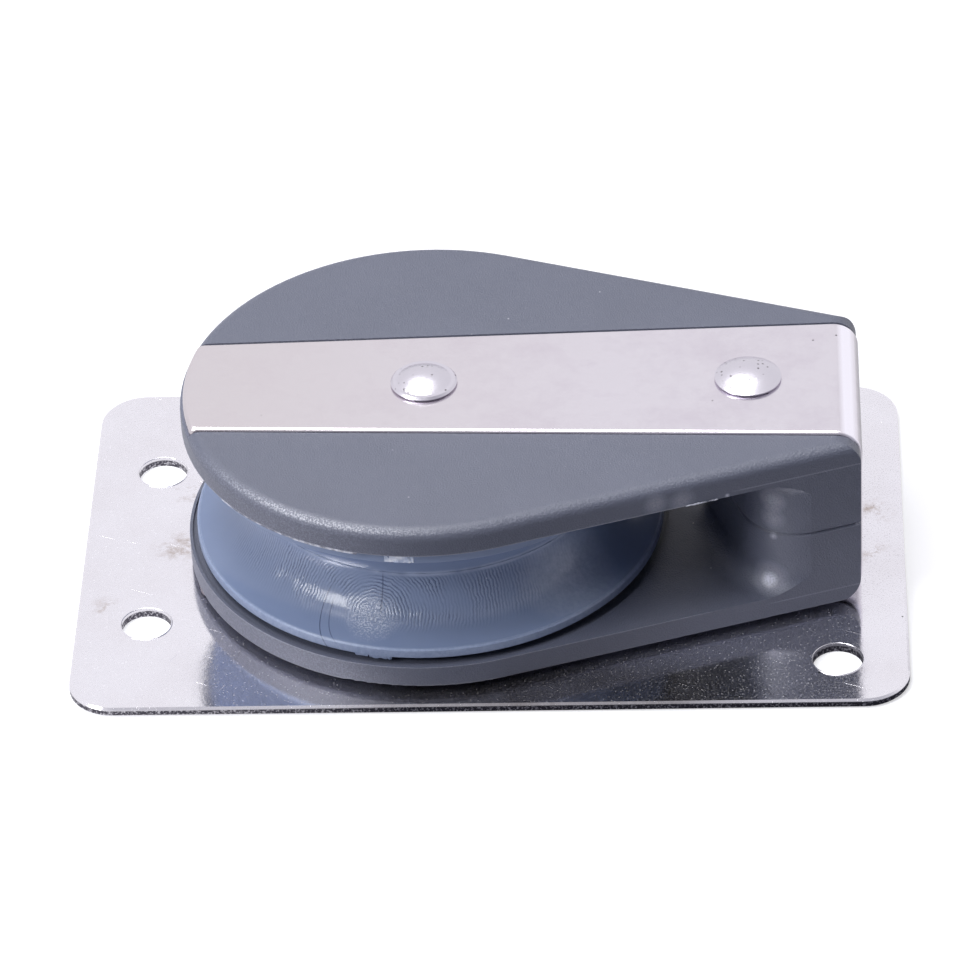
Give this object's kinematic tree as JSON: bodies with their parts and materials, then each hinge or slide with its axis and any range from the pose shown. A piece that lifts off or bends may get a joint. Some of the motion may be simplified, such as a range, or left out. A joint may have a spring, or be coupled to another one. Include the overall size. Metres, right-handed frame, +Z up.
{
  "type": "single pulley block",
  "caption": "Low deck pulley block with a grooved sheave turning between moulded plastic cheeks, clamped by a folded steel strap and rivets to a flat screw-down plate.",
  "frame": {"origin": "centre of the mounting plate's underside", "axes": "+X along the plate from the block's round head to its tail post, +Y across, +Z up along the sheave's axle"},
  "size_m": [0.1, 0.063, 0.0269],
  "materials": {
    "plate_steel": "polished",
    "strap_steel": "satin",
    "cheek_plastic": "satin",
    "sheave_plastic": "semi-gloss",
    "sleeve_steel": "turned",
    "rivet_steel": "polished",
    "washer_plastic": "matt"
  },
  "bodies": {
    "frame": {"base_plate": "plate_steel", "strap": "strap_steel", "lower_cheek": "cheek_plastic", "upper_cheek": "cheek_plastic", "axle_sleeve": "sleeve_steel", "tail_sleeve": "sleeve_steel", "axle_rivet": "rivet_steel", "tail_rivet": "rivet_steel", "lower_thrust_washer": "washer_plastic", "upper_thrust_washer": "washer_plastic"},
    "sheave": {"sheave": "sheave_plastic"}
  },
  "joints": [
    {"name": "sheave_spin", "type": "hinge", "parent": "frame", "child": "sheave", "pos_m": [-0.0075, 0, 0.01345], "axis": [0, 0, 1], "continuous": true}
  ]
}
